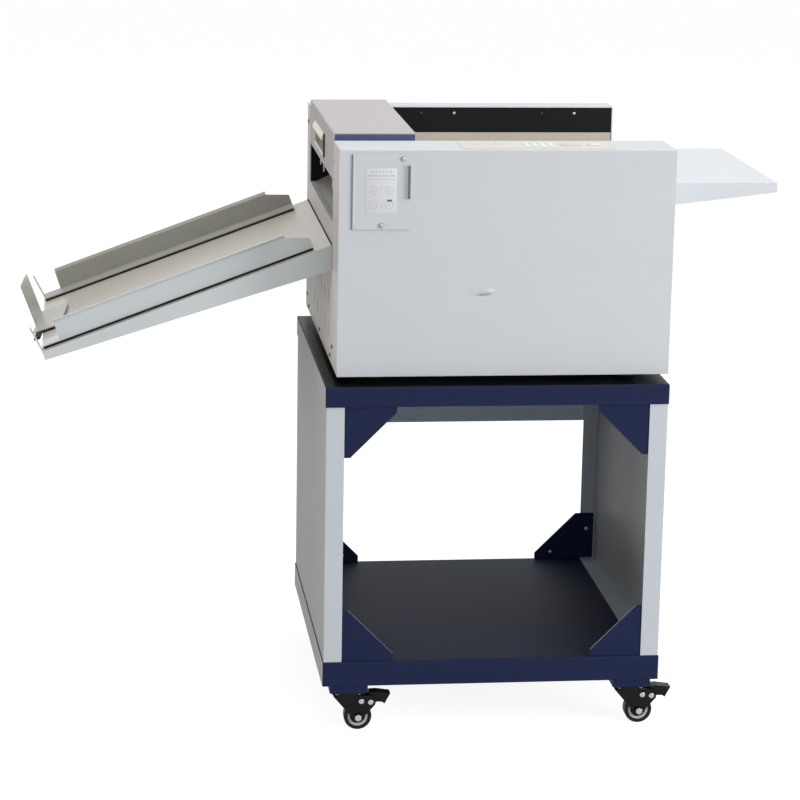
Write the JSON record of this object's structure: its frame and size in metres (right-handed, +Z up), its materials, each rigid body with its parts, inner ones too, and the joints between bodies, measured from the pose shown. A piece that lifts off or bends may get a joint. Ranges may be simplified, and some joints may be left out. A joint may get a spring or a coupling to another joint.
{
  "type": "paper creasing machine on wheeled stand",
  "caption": "Paper creasing machine with hinged hood, feed bed, sloping delivery tray with sliding guides and end stop, and in-feed table, on a wheeled open stand.",
  "frame": {"origin": "bottom centre of the bounding box at rest, on the floor", "axes": "+X from the delivery tray towards the in-feed table, +Y away from the operator, +Z up"},
  "size_m": [1.3516, 0.669, 1.0645],
  "materials": {
    "stand_paint": "satin",
    "back_panel_paint": "satin",
    "casing_paint": "gloss",
    "hood_paint": "gloss",
    "dark_paint": "satin",
    "black_steel": "matte",
    "tray_paint": "satin",
    "guide_tan": "satin",
    "magnet_black": "matte",
    "zinc_steel": "brushed",
    "machined_steel": "ground",
    "bronze": "turned",
    "roller_rubber": "matte",
    "black_plastic": "fine grain",
    "foot_rubber": "matte",
    "motor_metal": "cast",
    "board_green": "matte",
    "overlay_beige": "fine grain",
    "wheel_rubber": "satin",
    "panel_paint": "gloss"
  },
  "bodies": {
    "frame": {"base_plate": "zinc_steel", "bearings": "bronze", "case_screws": "zinc_steel", "control_panel": "overlay_beige", "crease_die": "machined_steel", "delivery_tray": "tray_paint", "door_hinge": "casing_paint", "drive_belt": "foot_rubber", "drive_motors": "motor_metal", "electronics": "board_green", "exit_chute": "zinc_steel", "far_cover": "casing_paint", "far_side_frame": "black_steel", "feed_bed": "casing_paint", "frame_rods": "zinc_steel", "infeed_panel": "casing_paint", "infeed_table": "casing_paint", "near_cover": "casing_paint", "near_side_frame": "black_steel", "outfeed_panel": "casing_paint", "power_inlet": "black_plastic", "rubber_feet": "foot_rubber", "separator_pad": "roller_rubber", "stand_back_panel": "back_panel_paint", "stand_gussets": "stand_paint", "stand_left_panel": "panel_paint", "stand_right_panel": "panel_paint", "stand_shelf": "stand_paint", "stand_top": "stand_paint"},
    "hood": {"hood_cover": "hood_paint", "hood_ends": "dark_paint", "hood_handle": "black_plastic"},
    "door": {"access_door": "casing_paint", "door_screws": "zinc_steel"},
    "rocker": {"rocker_switch": "black_plastic"},
    "feed_shaft": {"feed_roller": "roller_rubber"},
    "exit_lower": {"exit_roller_lower": "roller_rubber"},
    "exit_upper": {"exit_roller_upper": "roller_rubber"},
    "motor_rotor": {"motor_pulley": "motor_metal"},
    "rock_shaft": {"crease_shaft": "machined_steel"},
    "beam": {"crease_beam": "machined_steel"},
    "guide_near": {"infeed_guide_near": "guide_tan"},
    "guide_far": {"infeed_guide_far": "guide_tan"},
    "tray_side_near": {"tray_guide_near": "tray_paint", "tray_magnet_near": "magnet_black"},
    "tray_side_far": {"tray_guide_far": "tray_paint", "tray_magnet_far": "magnet_black"},
    "stop": {"end_stop": "tray_paint", "end_stop_magnet": "magnet_black"},
    "swivel_front_left": {"castor_fork_front_left": "black_steel"},
    "wheel_front_left": {"castor_wheel_front_left": "wheel_rubber"},
    "pedal_front_left": {"castor_brake_front_left": "black_steel"},
    "swivel_front_right": {"castor_fork_front_right": "black_steel"},
    "wheel_front_right": {"castor_wheel_front_right": "wheel_rubber"},
    "pedal_front_right": {"castor_brake_front_right": "black_steel"},
    "swivel_rear_left": {"castor_fork_rear_left": "black_steel"},
    "wheel_rear_left": {"castor_wheel_rear_left": "wheel_rubber"},
    "swivel_rear_right": {"castor_fork_rear_right": "black_steel"},
    "wheel_rear_right": {"castor_wheel_rear_right": "wheel_rubber"}
  },
  "joints": [
    {"name": "swivel_front_left", "type": "hinge", "parent": "frame", "child": "swivel_front_left", "pos_m": [-0.09816, -0.2985, 0.077], "axis": [0, 0, 1], "continuous": true},
    {"name": "wheel_front_left", "type": "hinge", "parent": "swivel_front_left", "child": "wheel_front_left", "pos_m": [-0.07916, -0.2985, 0.025], "axis": [0, 1, 0], "continuous": true},
    {"name": "brake_front_left", "type": "hinge", "parent": "swivel_front_left", "child": "pedal_front_left", "pos_m": [-0.05665, -0.2985, 0.053], "axis": [0, 1, 0], "range_deg": [0, 12]},
    {"name": "swivel_front_right", "type": "hinge", "parent": "frame", "child": "swivel_front_right", "pos_m": [0.41585, -0.2985, 0.077], "axis": [0, 0, 1], "continuous": true},
    {"name": "wheel_front_right", "type": "hinge", "parent": "swivel_front_right", "child": "wheel_front_right", "pos_m": [0.43484, -0.2985, 0.025], "axis": [0, 1, 0], "continuous": true},
    {"name": "brake_front_right", "type": "hinge", "parent": "swivel_front_right", "child": "pedal_front_right", "pos_m": [0.45735, -0.2985, 0.053], "axis": [0, 1, 0], "range_deg": [0, 12]},
    {"name": "swivel_rear_left", "type": "hinge", "parent": "frame", "child": "swivel_rear_left", "pos_m": [-0.09816, 0.2455, 0.077], "axis": [0, 0, 1], "continuous": true},
    {"name": "wheel_rear_left", "type": "hinge", "parent": "swivel_rear_left", "child": "wheel_rear_left", "pos_m": [-0.07916, 0.2455, 0.025], "axis": [0, 1, 0], "continuous": true},
    {"name": "swivel_rear_right", "type": "hinge", "parent": "frame", "child": "swivel_rear_right", "pos_m": [0.41585, 0.2455, 0.077], "axis": [0, 0, 1], "continuous": true},
    {"name": "wheel_rear_right", "type": "hinge", "parent": "swivel_rear_right", "child": "wheel_rear_right", "pos_m": [0.43484, 0.2455, 0.025], "axis": [0, 1, 0], "continuous": true},
    {"name": "hood_hinge", "type": "hinge", "parent": "frame", "child": "hood", "pos_m": [0.01184, 0.0125, 1.0455], "axis": [0, 1, 0], "range_deg": [0, 75]},
    {"name": "door_hinge", "type": "hinge", "parent": "frame", "child": "door", "pos_m": [-0.09915, -0.3075, 0.978], "axis": [0, 0, -1], "range_deg": [0, 110]},
    {"name": "rocker_tilt", "type": "hinge", "parent": "frame", "child": "rocker", "pos_m": [0.38284, 0.3265, 0.7055], "axis": [1, 0, 0], "range_deg": [-8, 8]},
    {"name": "feed_spin", "type": "hinge", "parent": "frame", "child": "feed_shaft", "pos_m": [-0.00215, 0.0345, 1.0015], "axis": [0, 1, 0], "continuous": true},
    {"name": "exit_lower_spin", "type": "hinge", "parent": "frame", "child": "exit_lower", "pos_m": [-0.09616, 0.0345, 0.96135], "axis": [0, 1, 0], "continuous": true},
    {"name": "exit_upper_spin", "type": "hinge", "parent": "frame", "child": "exit_upper", "pos_m": [-0.09616, 0.0345, 0.98565], "axis": [0, 1, 0], "continuous": true},
    {"name": "motor_spin", "type": "hinge", "parent": "frame", "child": "motor_rotor", "pos_m": [-0.04415, -0.2255, 0.8515], "axis": [0, 1, 0], "continuous": true},
    {"name": "crease_rock", "type": "hinge", "parent": "frame", "child": "rock_shaft", "pos_m": [-0.02415, 0.0345, 1.0315], "axis": [0, -1, 0], "range_deg": [0, 11.1]},
    {"name": "crease_press", "type": "slide", "parent": "frame", "child": "beam", "axis": [0, 0, -1], "range_m": [0, 0.005]},
    {"name": "guide_near_slide", "type": "slide", "parent": "frame", "child": "guide_near", "axis": [0, 1, 0], "range_m": [0, 0.15]},
    {"name": "guide_far_slide", "type": "slide", "parent": "frame", "child": "guide_far", "axis": [0, -1, 0], "range_m": [0, 0.15]},
    {"name": "tray_side_near_slide", "type": "slide", "parent": "frame", "child": "tray_side_near", "axis": [0, 1, 0], "range_m": [0, 0.05]},
    {"name": "tray_side_far_slide", "type": "slide", "parent": "frame", "child": "tray_side_far", "axis": [0, -1, 0], "range_m": [0, 0.1]},
    {"name": "stop_slide", "type": "slide", "parent": "frame", "child": "stop", "axis": [0.9377, 0, 0.3474], "range_m": [0, 0.3]}
  ],
  "couplings": [
    {"joint": "exit_lower_spin", "follows": "feed_spin", "ratio": 1},
    {"joint": "exit_upper_spin", "follows": "feed_spin", "ratio": -1},
    {"joint": "motor_spin", "follows": "feed_spin", "ratio": 1},
    {"joint": "crease_rock", "follows": "crease_press", "rad_per_m": 38.462}
  ]
}
